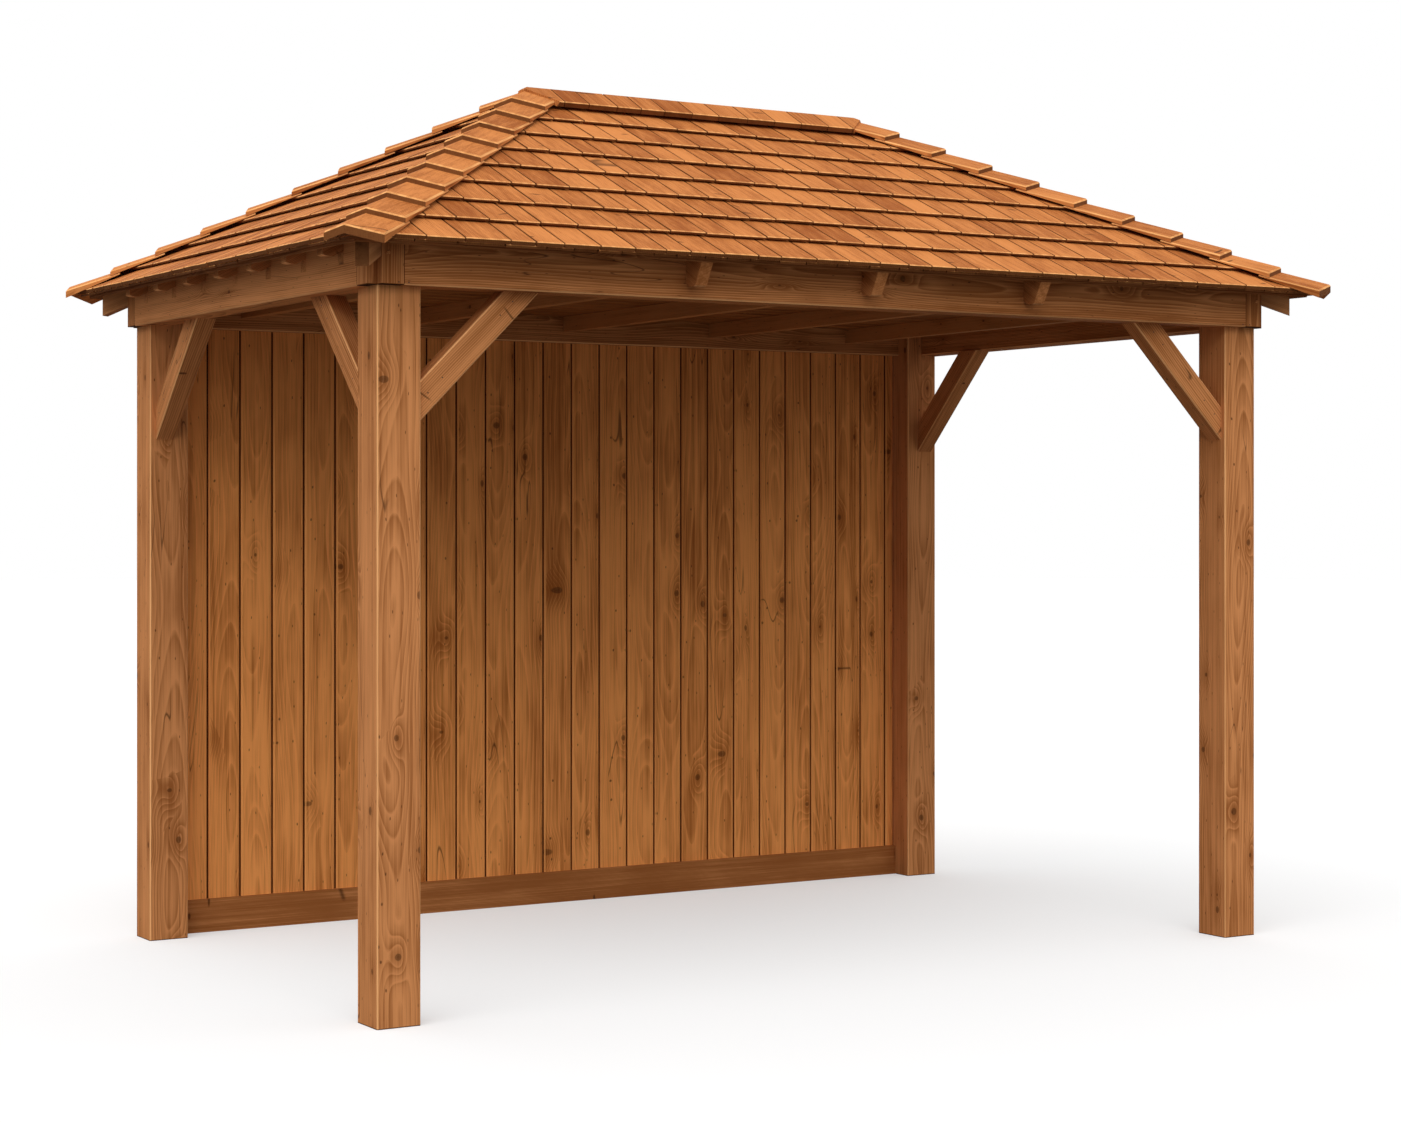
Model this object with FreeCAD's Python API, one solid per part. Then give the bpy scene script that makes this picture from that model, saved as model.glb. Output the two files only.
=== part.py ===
import FreeCAD, Part
import math
import os

os.makedirs("parts", exist_ok=True)

# Hipped cedar gazebo on four posts, with a boarded back wall. Millimetres, +Z up.
# Origin: centre of the footprint on the ground. X runs along the long side, the open front faces -Y.

# Frame: posts and ring beam
FRAME_LENGTH = 3660.0          # over the outer faces of the posts, along X
FRAME_WIDTH = 2200.0           # over the outer faces of the posts, along Y
POST_SIZE = 150.0
HEADROOM = 2320.0              # ground to the underside of the ring beam
BEAM_THICKNESS = 110.0
BEAM_HEIGHT = 170.0            # at its outer face, up to the underside of the deck
BEAM_PROUD = 35.0              # ring beam stands out past the post faces
ARRIS = 4.0                    # planed-off long edges of the posts and beams

# Knee braces
BRACE_LEG = 430.0              # reach of the long edge, along the beam and down the post
BRACE_FACE = 90.0
BRACE_DEPTH = 75.0
BRACE_SETBACK = 22.0           # behind the outer face of the post

# Back wall
WALL_SETBACK = 97.0            # inner face of the post to the face of the sill
SILL_THICKNESS = 50.0
SILL_HEIGHT = 127.0
WALL_BOARD_THICKNESS = 22.0
WALL_BOARD_STEP = 12.0         # boards lie behind the face of the sill
WALL_BOARD_PITCH = 133.0
FIRST_WALL_BOARD = 121.0       # the board at the left post is ripped narrower
GROOVE_WIDTH = 8.0
GROOVE_DEPTH = 4.0

# Ceiling
JOIST_WIDTH = 45.0
JOIST_HEIGHT = 60.0
JOIST_UNDERSIDE = 46.0         # above the underside of the ring beam
JOIST_HOUSING = 15.0           # joist ends are let into the beams
CEILING_THICKNESS = 16.0
CEILING_BOARD_PITCH = 120.0

# Roof
PITCH = 28.5
RAFTER_THICKNESS = 45.0
RAFTER_DEPTH = 82.0
COMMON_RAFTERS = 3             # on each long side, spread over the length of the ridge
END_RAFTER_SPACING = 300.0     # rafters on the short sides
RIDGE_THICKNESS = 28.0
RIDGE_DEPTH = 140.0
DECK_THICKNESS = 18.0
BEAM_BACKING = 16.0            # top arris of the ring beam is planed to the roof slope

# Eaves: how far each layer reaches past the outer faces of the posts
SHINGLE_OVERHANG = 165.0
DECK_OVERHANG = 138.0
HIP_TAIL_OVERHANG = 92.0
END_TAIL_OVERHANG = 105.0
COMMON_TAIL_OVERHANG = 135.0
CAP_OVERHANG = 200.0
END_TAIL_NOSE = 28.0           # plumb part of a tail on the short sides, above its rounded end
END_TAIL_ROUND = 36.0
END_TAIL_DEPTH = 52.0          # plumb, where it leaves the beam
COMMON_TAIL_NOSE = 86.0        # end of a tail on the long sides, cut square to the slope
COMMON_TAIL_DEPTH = 118.0      # plumb, where it leaves the beam
COMMON_TAIL_SAG = 8.0          # bulge of its rounded underside

# Shingles and caps
COURSE = 172.0                 # exposed length of a shingle, up the slope
SHINGLE_HIGH = 26.0            # height of a butt above the deck
SHINGLE_LOW = 11.0             # height of a course where the next one covers it
CAP_PIECES = 10                # on each hip
CAP_BUTT = 29.0
CAP_HEAD = 10.0
CAP_WING_LONG = 115.0          # plan width of a cap on the long roof face
CAP_WING_SHORT = 75.0          # and on the short one
CAP_TRAIL = 40.0               # lower corner of the wide wing, up the hip from the tip of the fold
RIDGE_CAP_THICKNESS = 20.0
RIDGE_CAP_WING = 105.0
RIDGE_CAP_LAP = 25.0           # the ridge cap runs on down over the heads of the hip caps

HALF_L = FRAME_LENGTH / 2
HALF_W = FRAME_WIDTH / 2
RIDGE_HALF = HALF_L - HALF_W
BEAM_OUT_L = HALF_L + BEAM_PROUD
BEAM_OUT_W = HALF_W + BEAM_PROUD
BEAM_IN_L = BEAM_OUT_L - BEAM_THICKNESS
BEAM_IN_W = BEAM_OUT_W - BEAM_THICKNESS
SLOPE = math.tan(math.radians(PITCH))
COS_PITCH = math.cos(math.radians(PITCH))
HIP_SLOPE = SLOPE / math.sqrt(2)
JOIST_BASE = HEADROOM + JOIST_UNDERSIDE
CEILING_BASE = JOIST_BASE + JOIST_HEIGHT
BEYOND = 400.0                 # cutting shapes run this far past what they cut
PARALLEL = 0.99                # cosine above which an edge counts as running along a timber
FLUSH = 0.01                   # two corners nearer than this are one

CORNERS = {
    "front_left": (-1, -1),
    "front_right": (1, -1),
    "back_left": (-1, 1),
    "back_right": (1, 1),
}


def run(overhang):
    """Plan distance from the ridge line to a point past the posts."""
    return HALF_W + overhang


def deck_underside(distance):
    """Height of the deck's underside at a plan distance from the ridge line."""
    return HEADROOM + BEAM_HEIGHT + (BEAM_OUT_W - distance) * SLOPE


def deck_top(distance):
    return deck_underside(distance) + DECK_THICKNESS / COS_PITCH


def rafter_underside(distance):
    return deck_underside(distance) - RAFTER_DEPTH / COS_PITCH


def above_deck(distance, height):
    """Height of a point that lies a given distance square off the deck."""
    return deck_top(distance) + height / COS_PITCH


def box(x0, x1, y0, y1, z0, z1):
    size = (abs(x1 - x0), abs(y1 - y0), abs(z1 - z0))
    corner = FreeCAD.Vector(min(x0, x1), min(y0, y1), min(z0, z1))
    return Part.makeBox(*size, corner)


def prism(points, direction):
    """Solid from a closed outline of (x, y, z) points, extruded along a vector."""
    corners = [FreeCAD.Vector(*point) for point in points]
    face = Part.Face(Part.makePolygon(corners + corners[:1]))
    return face.extrude(FreeCAD.Vector(*direction))


def save(name, shape):
    if not shape.isValid():
        raise ValueError(name + " is not a valid solid")
    solids = shape.Solids
    shape = solids[0] if len(solids) == 1 else Part.makeCompound(solids)
    shape.exportStep("parts/" + name + ".step")


def planed(timber, direction, below=math.inf):
    """Takes the arris off the long edges of a squared timber, or off those below a height."""
    edges = []
    for edge in timber.Edges:
        along = abs(edge.tangentAt(edge.FirstParameter).dot(FreeCAD.Vector(*direction).normalize()))
        if along > PARALLEL and edge.CenterOfMass.z < below:
            edges.append(edge)
    return timber.makeChamfer(ARRIS, edges)


def largest(shape):
    """The piece that stays on the bench after a cut."""
    return max(shape.Solids, key=lambda solid: solid.Volume)


def mirrored(shape, sx, sy):
    """Copy of a front-right piece in the quarter with the given signs."""
    result = shape
    origin = FreeCAD.Vector(0, 0, 0)
    if sx < 0:
        result = result.mirror(origin, FreeCAD.Vector(1, 0, 0))
    if sy > 0:
        result = result.mirror(origin, FreeCAD.Vector(0, 1, 0))
    return result


# Posts: square, with the upper end cut back to an inner tongue that the ring beam closes round
def make_post():
    """Post of the front-right corner."""
    x0 = HALF_L - POST_SIZE
    y0 = -HALF_W + POST_SIZE
    shaft = planed(box(x0, HALF_L, y0, -HALF_W, 0, HEADROOM), (0, 0, 1))
    tongue = box(x0, BEAM_IN_L, y0, -BEAM_IN_W, HEADROOM - POST_SIZE, CEILING_BASE)
    tongue = tongue.cut(box(x0, HALF_L, y0, -HALF_W, 0, HEADROOM))
    corner = prism(
        [(x0, y0, HEADROOM), (x0 + ARRIS, y0, HEADROOM), (x0, y0 - ARRIS, HEADROOM)],
        (0, 0, CEILING_BASE - HEADROOM),
    )
    return shaft.fuse(tongue.cut(corner)).removeSplitter()


# Ring beam: four beams let over the rafters, butted to a notched block at each corner
def space_above(level):
    """Space over the four slopes of the roof, at the height that level gives for a distance."""
    eave = run(CAP_OVERHANG) + BEYOND
    end = HALF_L + 2 * BEYOND
    top = level(0) + BEYOND
    faces = []
    for sign in (-1, 1):
        long_side = [
            (-end, 0, level(0)),
            (-end, sign * eave, level(eave)),
            (-end, sign * eave, top),
            (-end, 0, top),
        ]
        faces.append(prism(long_side, (2 * end, 0, 0)))
        short_side = [
            (sign * RIDGE_HALF, -2 * eave, level(0)),
            (sign * (RIDGE_HALF + eave), -2 * eave, level(eave)),
            (sign * (RIDGE_HALF + eave), -2 * eave, top),
            (sign * RIDGE_HALF, -2 * eave, top),
        ]
        faces.append(prism(short_side, (0, 4 * eave, 0)))
    return faces[0].fuse(faces[1:])


BEAM_TOP = deck_underside(BEAM_OUT_W) + BEAM_BACKING * SLOPE


def make_long_beam(sign):
    y_out = sign * BEAM_OUT_W
    y_in = sign * BEAM_IN_W
    timber = box(-BEAM_IN_L, BEAM_IN_L, y_in, y_out, HEADROOM, BEAM_TOP)
    return planed(timber, (1, 0, 0), HEADROOM + ARRIS)


def make_short_beam(sign):
    x_out = sign * BEAM_OUT_L
    x_in = sign * BEAM_IN_L
    timber = box(x_in, x_out, -BEAM_IN_W, BEAM_IN_W, HEADROOM, BEAM_TOP)
    return planed(timber, (0, 1, 0), HEADROOM + ARRIS)


def make_corner_block():
    """Block of the front-right corner, with its outer corner notched to the line of the post."""
    block = box(BEAM_IN_L, BEAM_OUT_L, -BEAM_IN_W, -BEAM_OUT_W, HEADROOM, BEAM_TOP)
    return block.cut(box(HALF_L, BEAM_OUT_L, -HALF_W, -BEAM_OUT_W, HEADROOM, BEAM_TOP))


# Knee braces: cut square to the post and the beam
def make_brace(corner, along_x):
    sx, sy = corner
    across = BRACE_FACE * math.sqrt(2)
    low = HEADROOM - BRACE_LEG
    outline = [(0, low), (0, low + across), (BRACE_LEG - across, HEADROOM), (BRACE_LEG, HEADROOM)]
    if along_x:
        face = sy * (HALF_W - BRACE_SETBACK)
        start = sx * (HALF_L - POST_SIZE)
        points = [(start - sx * reach, face, z) for reach, z in outline]
        return planed(prism(points, (0, -sy * BRACE_DEPTH, 0)), (-sx, 0, 1))
    face = sx * (HALF_L - BRACE_SETBACK)
    start = sy * (HALF_W - POST_SIZE)
    points = [(face, start - sy * reach, z) for reach, z in outline]
    return planed(prism(points, (-sx * BRACE_DEPTH, 0, 0)), (0, -sy, 1))


# Back wall: a sill on the ground and upright grooved boards up to the beam
def grooved_outline(start, end, joints, front, back):
    """Outline of a boarded panel in plan, with a V at each joint on both faces."""
    half = GROOVE_WIDTH / 2
    inward = math.copysign(GROOVE_DEPTH, back - front)
    outline = [(start, front)]
    for joint in joints:
        outline += [(joint - half, front), (joint, front + inward), (joint + half, front)]
    outline += [(end, front), (end, back)]
    for joint in reversed(joints):
        outline += [(joint + half, back), (joint, back - inward), (joint - half, back)]
    outline.append((start, back))
    return outline


def joint_places(start, end, first, pitch):
    places = []
    place = start + first
    while place < end - GROOVE_WIDTH:
        places.append(place)
        place += pitch
    return places


WALL_HALF = HALF_L - POST_SIZE
SILL_FACE = HALF_W - POST_SIZE + WALL_SETBACK


def make_wall_sill():
    return box(-WALL_HALF, WALL_HALF, SILL_FACE, SILL_FACE + SILL_THICKNESS, 0, SILL_HEIGHT)


def make_wall_boards():
    front = SILL_FACE + WALL_BOARD_STEP
    back = front + WALL_BOARD_THICKNESS
    joints = joint_places(-WALL_HALF, WALL_HALF, FIRST_WALL_BOARD, WALL_BOARD_PITCH)
    outline = grooved_outline(-WALL_HALF, WALL_HALF, joints, front, back)
    points = [(x, y, SILL_HEIGHT) for x, y in outline]
    return prism(points, (0, 0, HEADROOM - SILL_HEIGHT))


# Ceiling: level joists between the long beams, with grooved boards laid over them
def common_places():
    """Common rafters stand flush with both ends of the ridge and evenly between them."""
    last = RIDGE_HALF - RAFTER_THICKNESS / 2
    pitch = 2 * last / (COMMON_RAFTERS - 1)
    return [index * pitch - last for index in range(COMMON_RAFTERS)]


def joist_places():
    """Joists lie under the common rafters and go on at the same pitch to the short beams."""
    places = common_places()
    pitch = places[1] - places[0]
    while places[-1] + pitch < BEAM_IN_L - JOIST_WIDTH:
        places = [places[0] - pitch] + places + [places[-1] + pitch]
    return places


def make_joists():
    reach = BEAM_IN_W + JOIST_HOUSING
    half = JOIST_WIDTH / 2
    return [box(x - half, x + half, -reach, reach, JOIST_BASE, CEILING_BASE) for x in joist_places()]


def make_ceiling_boards():
    front = CEILING_BASE
    back = CEILING_BASE + CEILING_THICKNESS
    joints = joint_places(-BEAM_IN_W, BEAM_IN_W, CEILING_BOARD_PITCH, CEILING_BOARD_PITCH)
    outline = grooved_outline(-BEAM_IN_W, BEAM_IN_W, joints, front, back)
    points = [(-BEAM_IN_L, y, z) for y, z in outline]
    return prism(points, (2 * BEAM_IN_L, 0, 0))


# Rafters: every one has the same depth, measured from the underside of the deck
def rafter_outline(near, far):
    """Side of a rafter as (distance from the ridge, height), from a near to a far distance."""
    return [
        (near, rafter_underside(near)),
        (far, rafter_underside(far)),
        (far, deck_underside(far)),
        (near, deck_underside(near)),
    ]


def end_tail():
    """Tail of the short sides: top, plumb nose, and the middle and end of its rounded corner."""
    tip = run(END_TAIL_OVERHANG)
    nose = (tip, deck_underside(tip) - END_TAIL_NOSE)
    inner = tip - END_TAIL_ROUND
    belly = (inner, deck_underside(inner) - END_TAIL_DEPTH)
    middle = (
        tip - END_TAIL_ROUND * (1 - math.sqrt(0.5)),
        nose[1] + (belly[1] - nose[1]) * math.sqrt(0.5),
    )
    return (tip, deck_underside(tip)), nose, middle, belly


def common_tail():
    """Tail of the long sides: top, square nose, and the middle and end of its rounded underside."""
    tip = run(COMMON_TAIL_OVERHANG)
    top = (tip, deck_underside(tip))
    nose = (top[0] - COMMON_TAIL_NOSE * SLOPE * COS_PITCH, top[1] - COMMON_TAIL_NOSE * COS_PITCH)
    belly = (BEAM_OUT_W, deck_underside(BEAM_OUT_W) - COMMON_TAIL_DEPTH)
    middle = ((nose[0] + belly[0]) / 2, (nose[1] + belly[1]) / 2 - COMMON_TAIL_SAG)
    return top, nose, middle, belly


def rafter_face(near, tail, depth, place):
    """Face of a rafter seen from the side: its tail, the beam, and the underside up to the ridge."""
    beam = BEAM_OUT_W
    plumb = RAFTER_DEPTH / COS_PITCH
    top, nose, middle, belly = [FreeCAD.Vector(*place(*point)) for point in tail]
    foot, root, inner, head = [FreeCAD.Vector(*place(*point)) for point in (
        (near, deck_underside(near)),
        (beam, deck_underside(beam) - depth),
        (beam, deck_underside(beam) - plumb),
        (near, deck_underside(near) - plumb),
    )]
    edges = [Part.makeLine(foot, top), Part.makeLine(top, nose)]
    edges.append(Part.Arc(nose, middle, belly).toShape())
    for start, end in ((belly, root), (root, inner)):
        if (start - end).Length > FLUSH:
            edges.append(Part.makeLine(start, end))
    edges.append(Part.makeLine(inner, head))
    edges.append(Part.makeLine(head, foot))
    return Part.Face(Part.Wire(edges))


def make_common_rafter(x, sign):
    """Rafter of a long side, from the ridge board to its tail."""
    half = RAFTER_THICKNESS / 2
    near = RIDGE_THICKNESS / 2
    face = rafter_face(near, common_tail(), COMMON_TAIL_DEPTH, lambda d, z: (x - half, sign * d, z))
    return face.extrude(FreeCAD.Vector(RAFTER_THICKNESS, 0, 0))


def make_end_rafter(y, sign):
    """Rafter of a short side, from the hip that it meets to its tail."""
    half = RAFTER_THICKNESS / 2
    out = RIDGE_HALF
    face = rafter_face(abs(y), end_tail(), END_TAIL_DEPTH, lambda d, z: (sign * (out + d), y - half, z))
    return face.extrude(FreeCAD.Vector(0, RAFTER_THICKNESS, 0))


def make_hip_rafter():
    """Hip of the front-right corner: a plank on the diagonal, its back planed to both slopes."""
    half = RAFTER_THICKNESS / 2 / math.sqrt(2)
    points = [(RIDGE_HALF + d, -d, z) for d, z in rafter_outline(0, run(HIP_TAIL_OVERHANG))]
    shifted = [(x - half, y - half, z) for x, y, z in points]
    return prism(shifted, (2 * half, 2 * half, 0)).cut(OVER_RAFTERS)


def make_ridge_board():
    half = RIDGE_THICKNESS / 2
    top = deck_underside(0)
    board = box(-RIDGE_HALF, RIDGE_HALF, -half, half, top - RIDGE_DEPTH, top)
    return board.cut(OVER_RAFTERS)


# Roof faces: each is an outline up the slope, run along its eave and mitred at the hips
def along_face(outline, long_side, sign, reach):
    """Sweep an outline of (distance, height) along one eave and trim it to the hip lines."""
    limit = 2 * deck_top(0)
    if long_side:
        half = RIDGE_HALF + reach
        body = prism([(-half, sign * d, z) for d, z in outline], (2 * half, 0, 0))
        plan = [
            (-RIDGE_HALF, 0, 0),
            (RIDGE_HALF, 0, 0),
            (RIDGE_HALF + reach, sign * reach, 0),
            (-RIDGE_HALF - reach, sign * reach, 0),
        ]
    else:
        body = prism([(sign * (RIDGE_HALF + d), -reach, z) for d, z in outline], (0, 2 * reach, 0))
        plan = [
            (sign * RIDGE_HALF, 0, 0),
            (sign * (RIDGE_HALF + reach), reach, 0),
            (sign * (RIDGE_HALF + reach), -reach, 0),
        ]
    return largest(body.common(prism(plan, (0, 0, limit))))


def deck_outline():
    far = run(DECK_OVERHANG)
    return [
        (0, deck_underside(0)),
        (far, deck_underside(far)),
        (far, deck_top(far)),
        (0, deck_top(0)),
    ]


def shingle_outline():
    """Courses from the eave to the ridge: each rises at its butt and sinks to the next."""
    eave = run(SHINGLE_OVERHANG)
    step = COURSE * COS_PITCH
    courses = int(eave / step + 0.5)
    outline = [(0, deck_top(0)), (eave, deck_top(eave))]
    for index in range(courses):
        butt = eave - index * step
        head = butt - step if index < courses - 1 else 0
        outline.append((butt, above_deck(butt, SHINGLE_HIGH)))
        outline.append((head, above_deck(head, SHINGLE_LOW)))
    return outline


# Caps: wedge pieces over each hip, stepped like the courses, and a saddle over the ridge
def wing_section(wing, distance, thickness):
    """Section of one wing on the front-right hip, slanting back up the hip from the fold."""
    base = above_deck(distance, SHINGLE_HIGH)
    points = []
    for out, rise in ((0, 0), (wing, 0), (wing, thickness), (0, thickness)):
        back = abs(out) * CAP_TRAIL / CAP_WING_LONG
        x = RIDGE_HALF + distance + (out - back) / math.sqrt(2)
        y = -distance + (out + back) / math.sqrt(2)
        points.append(FreeCAD.Vector(x, y, base + rise - (abs(out) - back) * HIP_SLOPE))
    return Part.makePolygon(points + points[:1])


def make_hip_cap(ridge_cap):
    """Caps of the front-right hip, cut where they meet the ridge cap and the next hip."""
    tip = run(CAP_OVERHANG)
    step = tip / CAP_PIECES
    pieces = []
    for index in range(CAP_PIECES):
        low = tip - index * step
        for wing in (CAP_WING_SHORT, -CAP_WING_LONG):
            sections = [wing_section(wing, low, CAP_BUTT), wing_section(wing, low - step, CAP_HEAD)]
            pieces.append(Part.makeLoft(sections, True, True))
    cap = pieces[0].fuse(pieces[1:])
    reach = tip + CAP_WING_LONG
    quarter = box(0, RIDGE_HALF + 2 * reach, 0, -2 * reach, 0, 2 * deck_top(0))
    return largest(cap.common(quarter).cut(ridge_cap).removeSplitter())


def make_ridge_cap():
    """Saddle over the ridge, its ends cut square to the hips and folded down over their heads."""
    end = RIDGE_HALF + RIDGE_CAP_LAP * math.sqrt(2)
    wing = RIDGE_CAP_WING
    plan = [
        (end, 0, 0),
        (end - wing, wing, 0),
        (wing - end, wing, 0),
        (-end, 0, 0),
        (wing - end, -wing, 0),
        (end - wing, -wing, 0),
    ]
    saddle = prism(plan, (0, 0, 2 * deck_top(0)))
    over_shingles = space_above(lambda distance: above_deck(distance, SHINGLE_HIGH))
    over_cap = space_above(lambda distance: above_deck(distance, SHINGLE_HIGH + RIDGE_CAP_THICKNESS))
    return largest(saddle.common(over_shingles).cut(over_cap))


OVER_RAFTERS = space_above(deck_underside)

ridge_board = make_ridge_board()
commons = {
    "front": [make_common_rafter(x, -1) for x in common_places()],
    "back": [make_common_rafter(x, 1) for x in common_places()],
}
framed = Part.makeCompound([ridge_board] + commons["front"] + commons["back"])
kings = {
    "left": largest(make_end_rafter(0.0, -1).cut(framed).cut(OVER_RAFTERS)),
    "right": largest(make_end_rafter(0.0, 1).cut(framed).cut(OVER_RAFTERS)),
}
framed = Part.makeCompound([framed] + list(kings.values()))
hips = {}
for name, signs in CORNERS.items():
    hips[name] = largest(mirrored(make_hip_rafter(), *signs).cut(framed))
framed = Part.makeCompound([framed] + list(hips.values()))

end_rafters = {}
end_count = int((HALF_W - RAFTER_THICKNESS) / END_RAFTER_SPACING)
for side, sign in (("left", -1), ("right", 1)):
    end_rafters[side] = [kings[side]]
    for index in range(1, end_count + 1):
        for way in (-1, 1):
            jack = make_end_rafter(way * index * END_RAFTER_SPACING, sign)
            end_rafters[side].append(largest(jack.cut(framed).cut(OVER_RAFTERS)))
roof_frame = Part.makeCompound([framed] + end_rafters["left"] + end_rafters["right"])

joists = make_joists()
through = Part.makeCompound([roof_frame] + joists)
for name, signs in CORNERS.items():
    save("post_" + name, mirrored(make_post(), *signs))
    block = mirrored(make_corner_block(), *signs)
    save("corner_block_" + name, largest(block.cut(OVER_RAFTERS).cut(roof_frame)))
    save("hip_rafter_" + name, hips[name])
for side, sign in (("front", -1), ("back", 1)):
    save("beam_" + side, largest(make_long_beam(sign).cut(OVER_RAFTERS).cut(through)))
    save("common_rafters_" + side, Part.makeCompound(commons[side]))
for side, sign in (("left", -1), ("right", 1)):
    save("beam_" + side, largest(make_short_beam(sign).cut(OVER_RAFTERS).cut(through)))
    save("end_rafters_" + side, Part.makeCompound(end_rafters[side]))
save("ridge_board", ridge_board)

save("brace_front_left", make_brace(CORNERS["front_left"], True))
save("brace_front_right", make_brace(CORNERS["front_right"], True))
save("brace_left_front", make_brace(CORNERS["front_left"], False))
save("brace_left_back", make_brace(CORNERS["back_left"], False))
save("brace_right_back", make_brace(CORNERS["back_right"], False))

save("wall_sill", make_wall_sill())
save("wall_boards", make_wall_boards())
save("ceiling_joists", Part.makeCompound(joists))
save("ceiling_boards", make_ceiling_boards())

for side, long_side, sign in (
    ("front", True, -1),
    ("back", True, 1),
    ("left", False, -1),
    ("right", False, 1),
):
    save("deck_" + side, along_face(deck_outline(), long_side, sign, run(DECK_OVERHANG)))
    save("shingles_" + side, along_face(shingle_outline(), long_side, sign, run(SHINGLE_OVERHANG)))

ridge_cap = make_ridge_cap()
save("ridge_cap", ridge_cap)
for name, signs in CORNERS.items():
    save("hip_cap_" + name, mirrored(make_hip_cap(ridge_cap), *signs))
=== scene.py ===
import math
import random

import bmesh
import bpy
from mathutils import Matrix, Vector


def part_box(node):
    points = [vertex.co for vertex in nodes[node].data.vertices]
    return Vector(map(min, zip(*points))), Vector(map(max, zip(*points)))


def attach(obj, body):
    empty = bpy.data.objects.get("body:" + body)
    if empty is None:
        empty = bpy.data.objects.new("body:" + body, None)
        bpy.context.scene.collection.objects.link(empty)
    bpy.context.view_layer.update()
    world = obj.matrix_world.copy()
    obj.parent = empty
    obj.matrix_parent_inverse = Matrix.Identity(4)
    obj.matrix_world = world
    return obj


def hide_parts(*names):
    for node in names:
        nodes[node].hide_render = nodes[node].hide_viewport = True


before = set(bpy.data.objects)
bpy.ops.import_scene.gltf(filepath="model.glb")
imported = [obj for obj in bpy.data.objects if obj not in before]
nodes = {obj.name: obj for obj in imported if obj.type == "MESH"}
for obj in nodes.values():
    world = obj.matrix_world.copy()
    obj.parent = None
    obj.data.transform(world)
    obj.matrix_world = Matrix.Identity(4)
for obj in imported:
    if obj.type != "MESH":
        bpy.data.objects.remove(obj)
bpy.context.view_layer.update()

# Camera: level, off the front left corner, as in the photograph.
# Being level keeps the posts upright, and the shift lowers the view to take in more ground.
camera = bpy.data.objects.new("camera", bpy.data.cameras.new("camera"))
bpy.context.scene.collection.objects.link(camera)
camera.location = (-5.2916, -8.7098, 1.5934)
camera.rotation_euler = (math.radians(90), 0, math.radians(-31.37))
camera.data.sensor_width = 36
camera.data.lens = 68.56
camera.data.shift_y = -0.031
bpy.context.scene.camera = camera
bpy.context.scene.view_settings.view_transform = "Standard"


# Studio: an even white sky, a broad soft lamp high at the front left, and a pale floor.
# The floor looks white where nothing shades it and keeps the soft shadow under the roof.
class Graph:
    """A node tree whose nodes are added with their inputs already joined."""

    def __init__(self, tree):
        self.tree = tree

    def add(self, kind, inputs, **settings):
        node = self.tree.nodes.new(kind)
        for name, value in settings.items():
            setattr(node, name, value)
        for name, value in inputs.items():
            if isinstance(value, bpy.types.NodeSocket):
                self.tree.links.new(value, node.inputs[name])
            else:
                node.inputs[name].default_value = value
        return node

    def calc(self, operation, *values):
        return self.add("ShaderNodeMath", dict(enumerate(values)), operation=operation).outputs[0]

    def vector(self, operation, *values):
        node = self.add("ShaderNodeVectorMath", dict(enumerate(values)), operation=operation)
        return node.outputs["Value" if operation == "LENGTH" else "Vector"]

    def fade(self, value, low, high, at_low=0.0, at_high=1.0):
        """Smooth change from one value to another while the input runs from low to high."""
        inputs = {0: value, 1: low, 2: high, 3: at_low, 4: at_high}
        node = self.add("ShaderNodeMapRange", inputs, interpolation_type="SMOOTHSTEP")
        return node.outputs[0]

    def mix(self, share, first, second):
        inputs = {0: share, 6: first, 7: second}
        return self.add("ShaderNodeMix", inputs, data_type="RGBA").outputs[2]


sky_light = 0.8
horizon_share, bank_share, zenith_loss = 0.55, 1.25, 0.3
world = bpy.data.worlds.new("studio")
bpy.context.scene.world = world
world.use_nodes = True
world.node_tree.nodes.clear()
graph = Graph(world.node_tree)
ray = graph.add("ShaderNodeLightPath", {}).outputs
shown = graph.calc("MAXIMUM", ray["Is Camera Ray"], ray["Is Glossy Ray"])
shown = graph.calc("MAXIMUM", shown, ray["Is Transmission Ray"])
direction = graph.add("ShaderNodeTexCoord", {}).outputs["Generated"]
height = graph.add("ShaderNodeSeparateXYZ", {0: direction}).outputs[2]
banked = graph.fade(height, 0.0, 0.4, horizon_share, bank_share)
banked = graph.calc("SUBTRACT", banked, graph.fade(height, 0.5, 1.0, 0.0, zenith_loss))
light = graph.calc("MULTIPLY", banked, sky_light)
light = graph.calc("MULTIPLY", light, graph.calc("SUBTRACT", 1.0, shown))
light = graph.calc("ADD", light, shown)
sky = graph.add("ShaderNodeBackground", {"Color": (1, 1, 1, 1), "Strength": light})
graph.add("ShaderNodeOutputWorld", {"Surface": sky.outputs[0]})

lamp = bpy.data.objects.new("soft_lamp", bpy.data.lights.new("soft_lamp", "SUN"))
bpy.context.scene.collection.objects.link(lamp)
lamp.data.energy = 1.55
lamp.data.angle = math.radians(60)
lamp.rotation_euler = (math.radians(38), 0, math.radians(-43))

floor_radius = 60
floor_drop = 0.0005
floor_mesh = bmesh.new()
bmesh.ops.create_circle(floor_mesh, cap_ends=True, radius=floor_radius, segments=64)
bmesh.ops.translate(floor_mesh, verts=floor_mesh.verts, vec=(0, 0, -floor_drop))
floor = bpy.data.objects.new("floor", bpy.data.meshes.new("floor"))
floor_mesh.to_mesh(floor.data)
bpy.context.scene.collection.objects.link(floor)

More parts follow.
